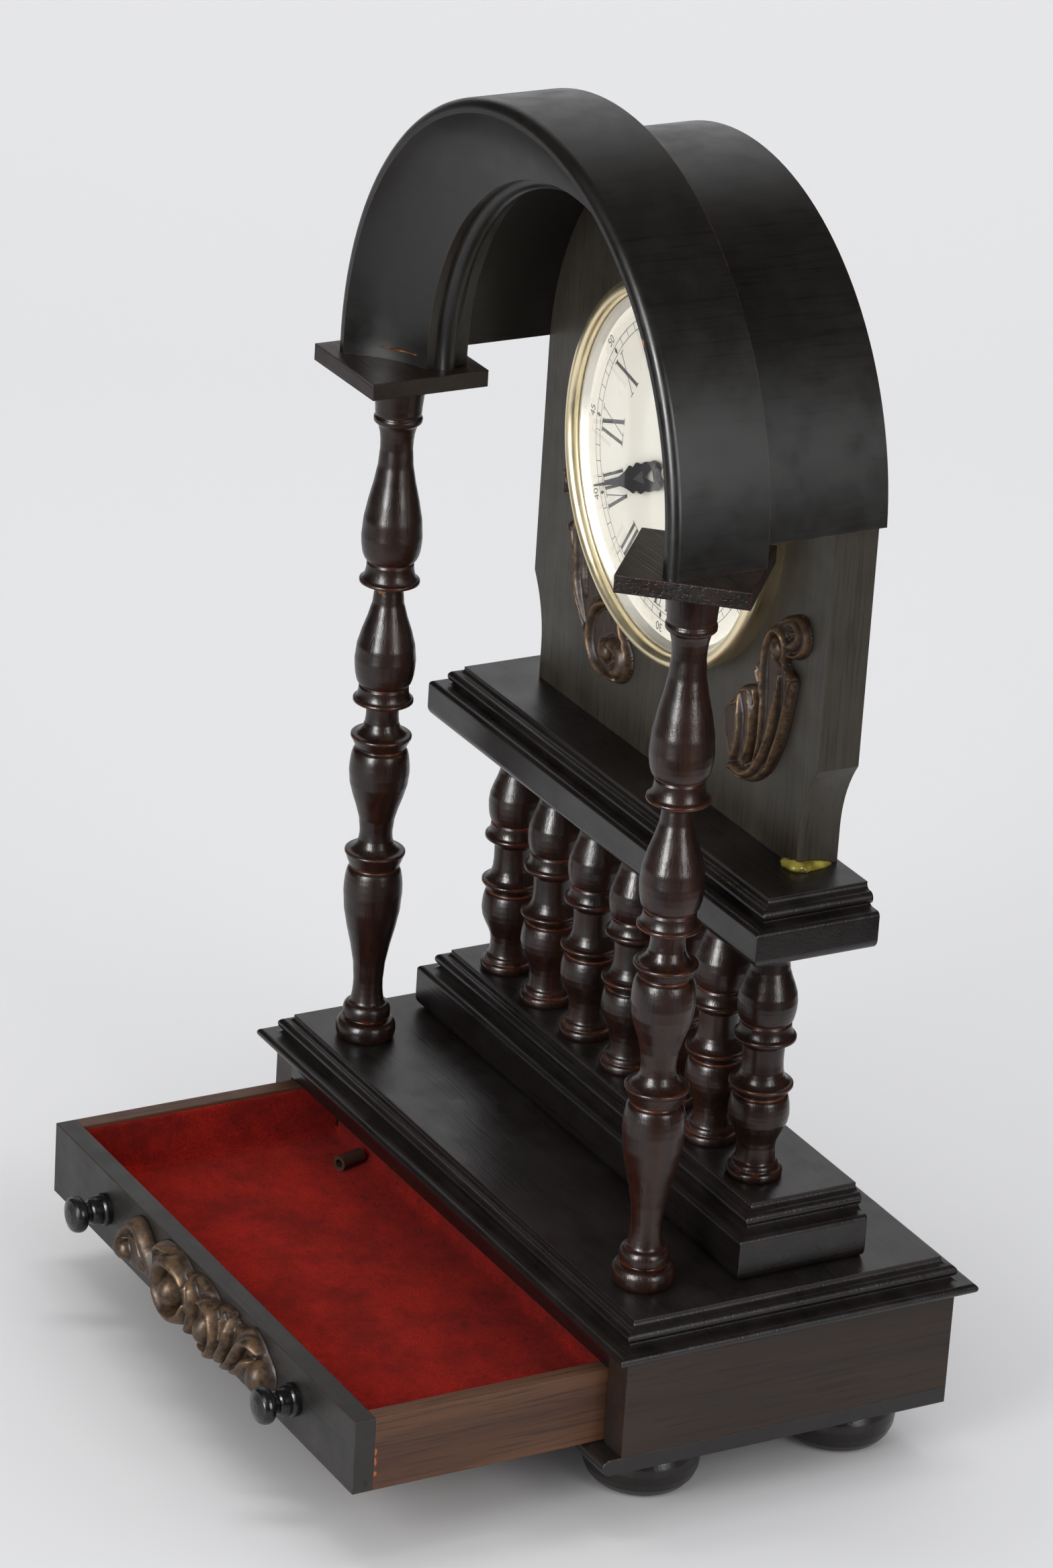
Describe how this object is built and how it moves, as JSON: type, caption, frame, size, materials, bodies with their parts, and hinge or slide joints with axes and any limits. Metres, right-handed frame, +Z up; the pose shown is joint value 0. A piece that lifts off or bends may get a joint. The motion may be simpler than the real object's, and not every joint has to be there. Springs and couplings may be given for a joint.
{
  "type": "table clock",
  "caption": "Table clock with a round dial under an arched hood, a portico of turned columns, a baluster stand and a base with a felt-lined drawer.",
  "frame": {"origin": "on the plane that the feet stand on, midway between the four feet", "axes": "+Z up, -Y towards the viewer of the dial, +X to that viewer's right"},
  "size_m": [0.25, 0.2245, 0.4202],
  "materials": {
    "ebonised_wood": "satin, dark stain",
    "carcass_wood": "thin satin varnish",
    "drawer_wood": "waxed, bare grain",
    "black_wood": "gloss black",
    "brown_wood": "raw",
    "ornament_metal": "dark patina, worn on the high spots",
    "brass": "polished",
    "silvered_metal": "satin",
    "dial_paint": "matt enamel",
    "hand_steel": "satin blued",
    "steel": "bright",
    "glass": "clear, domed",
    "felt": "woollen felt"
  },
  "bodies": {
    "case": {"foot_1": "ebonised_wood", "foot_2": "ebonised_wood", "foot_3": "ebonised_wood", "foot_4": "ebonised_wood", "base_bottom": "carcass_wood", "base_side_left": "carcass_wood", "base_side_right": "carcass_wood", "base_back": "carcass_wood", "base_rail": "ebonised_wood", "base_top": "ebonised_wood", "pedestal": "ebonised_wood", "baluster_1": "ebonised_wood", "baluster_2": "ebonised_wood", "baluster_3": "ebonised_wood", "baluster_4": "ebonised_wood", "baluster_5": "ebonised_wood", "baluster_6": "ebonised_wood", "baluster_7": "ebonised_wood", "shelf": "ebonised_wood", "column_left": "ebonised_wood", "column_right": "ebonised_wood", "cap_left": "ebonised_wood", "cap_right": "ebonised_wood", "front_arch": "ebonised_wood", "hood": "ebonised_wood", "dial_panel": "ebonised_wood", "scroll_left": "ornament_metal", "scroll_right": "ornament_metal", "bezel": "brass", "dial_surround": "silvered_metal", "glass": "glass", "dial_plate": "dial_paint", "movement_drum": "brass", "clamp_ring": "brass"},
    "drawer": {"drawer_front": "ebonised_wood", "drawer_side_left": "drawer_wood", "drawer_side_right": "drawer_wood", "drawer_back": "drawer_wood", "drawer_bottom": "drawer_wood", "drawer_lining": "felt", "drawer_knob_left": "black_wood", "drawer_knob_right": "black_wood", "drawer_carving": "ornament_metal", "drawer_tube": "brown_wood"},
    "minute_works": {"minute_hand": "hand_steel", "hand_nut": "brass", "centre_arbor": "steel", "set_knob": "brass"},
    "hour_works": {"hour_hand": "hand_steel", "hour_pipe": "brass"},
    "key": {"winding_key": "brass"}
  },
  "joints": [
    {"name": "drawer_slide", "type": "slide", "parent": "case", "child": "drawer", "axis": [0, -1, 0], "range_m": [-0.087, 0.008]},
    {"name": "minute_turn", "type": "hinge", "parent": "case", "child": "minute_works", "pos_m": [0, 0.0112, 0.2975], "axis": [0, 1, 0], "continuous": true},
    {"name": "hour_turn", "type": "hinge", "parent": "case", "child": "hour_works", "pos_m": [0, 0.0112, 0.2975], "axis": [0, 1, 0], "continuous": true},
    {"name": "key_turn", "type": "hinge", "parent": "case", "child": "key", "pos_m": [-0.018, 0.0455, 0.2835], "axis": [0, -1, 0], "range_deg": [0, 2610]}
  ],
  "couplings": [
    {"joint": "hour_turn", "follows": "minute_turn", "ratio": 0.083333}
  ]
}
